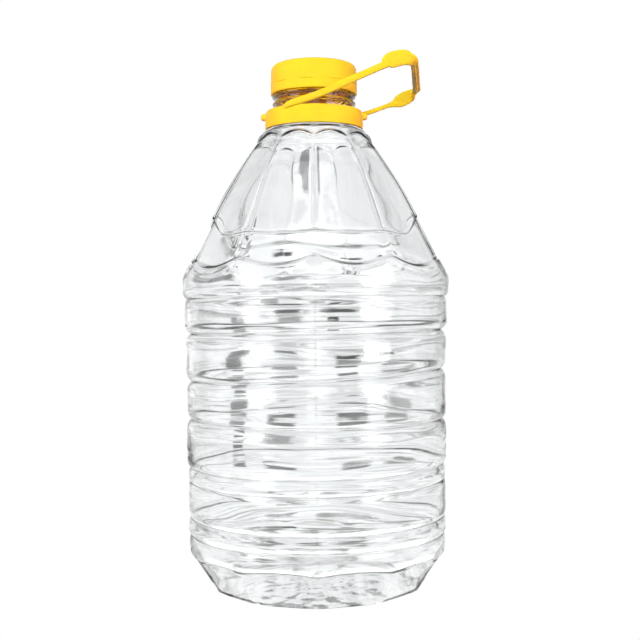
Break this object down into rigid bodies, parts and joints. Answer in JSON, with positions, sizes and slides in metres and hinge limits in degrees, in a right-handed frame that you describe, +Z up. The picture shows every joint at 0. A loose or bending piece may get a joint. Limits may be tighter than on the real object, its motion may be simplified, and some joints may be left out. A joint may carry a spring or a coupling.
{
  "type": "empty clear plastic water jug with screw cap and carrying handle",
  "caption": "Large clear plastic water jug, empty, with ribbed body, fluted shoulder, yellow screw cap and a yellow strap handle, pressed on round the neck and flexed out to one side.",
  "frame": {"origin": "on the jug's axis, in the plane that it stands on", "axes": "+Z up along the bottle's axis, +X towards the side that the handle is flexed to, -Y towards the front"},
  "size_m": [0.1664, 0.1664, 0.3277],
  "materials": {
    "clear_plastic": "clear, colourless blown plastic, glossy, thin-walled",
    "cap_plastic": "moulded opaque yellow plastic, satin gloss",
    "handle_plastic": "moulded opaque yellow plastic, satin gloss"
  },
  "bodies": {
    "root": {"bottle": "clear_plastic", "cap": "cap_plastic", "handle": "handle_plastic"}
  },
  "joints": []
}
